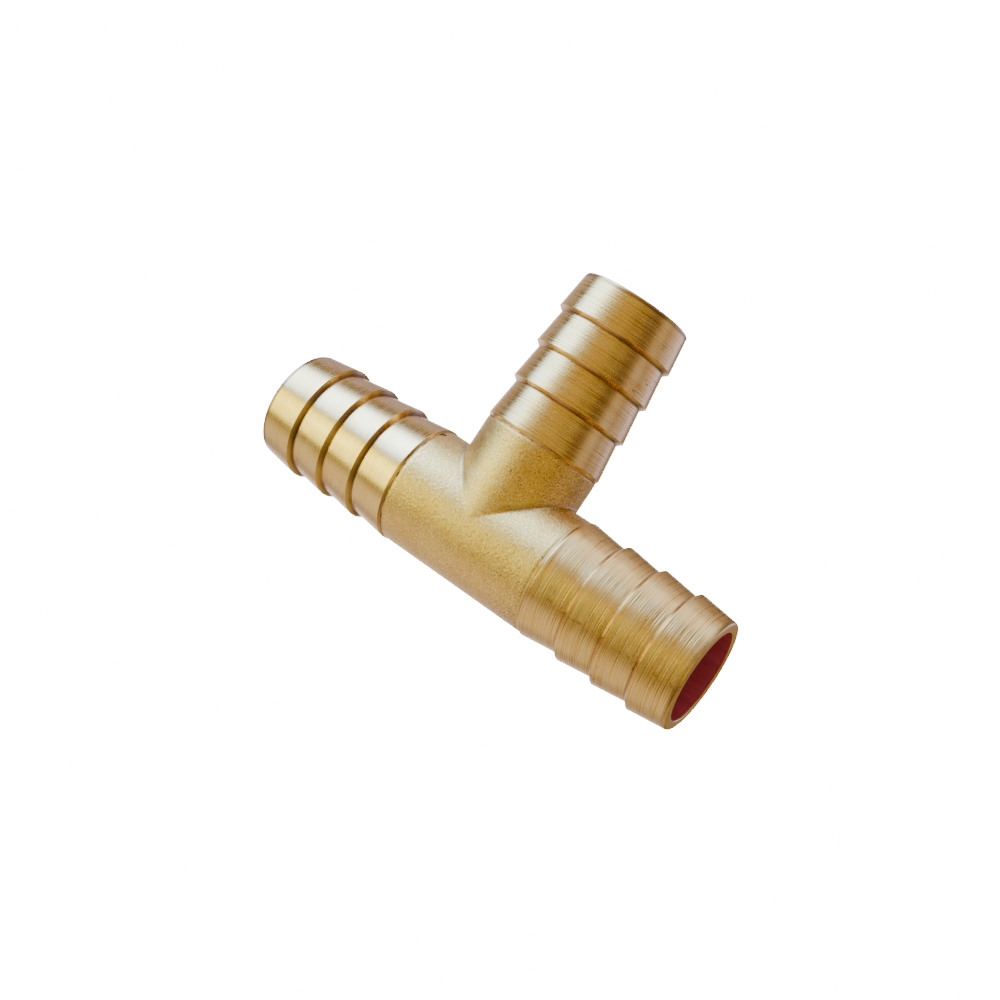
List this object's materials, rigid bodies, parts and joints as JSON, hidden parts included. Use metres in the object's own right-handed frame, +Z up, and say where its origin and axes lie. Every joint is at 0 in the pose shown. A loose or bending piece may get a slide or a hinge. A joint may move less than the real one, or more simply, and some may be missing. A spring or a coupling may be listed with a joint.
{
  "type": "barbed tee connector",
  "caption": "Brass hose tee: a forged body with turned hose tails on both ends of a straight run and on a branch at right angles, open bores meeting inside.",
  "frame": {"origin": "on the surface that the tee lies on, under the middle of its outline", "axes": "+X along the straight run, +Y along the branch, +Z up from the surface that the barb crests rest on"},
  "size_m": [0.082, 0.0528, 0.0205],
  "materials": {
    "forged_brass": "matte, fine-grained forged skin",
    "turned_brass": "bright, with turning lines round the axis",
    "filler_metal": "coppery, satin"
  },
  "bodies": {
    "root": {"tee_body": "forged_brass", "run_tail_right": "turned_brass", "run_tail_left": "turned_brass", "branch_tail": "turned_brass", "filler_ring_right": "filler_metal", "filler_ring_left": "filler_metal", "filler_ring_branch": "filler_metal"}
  },
  "joints": []
}
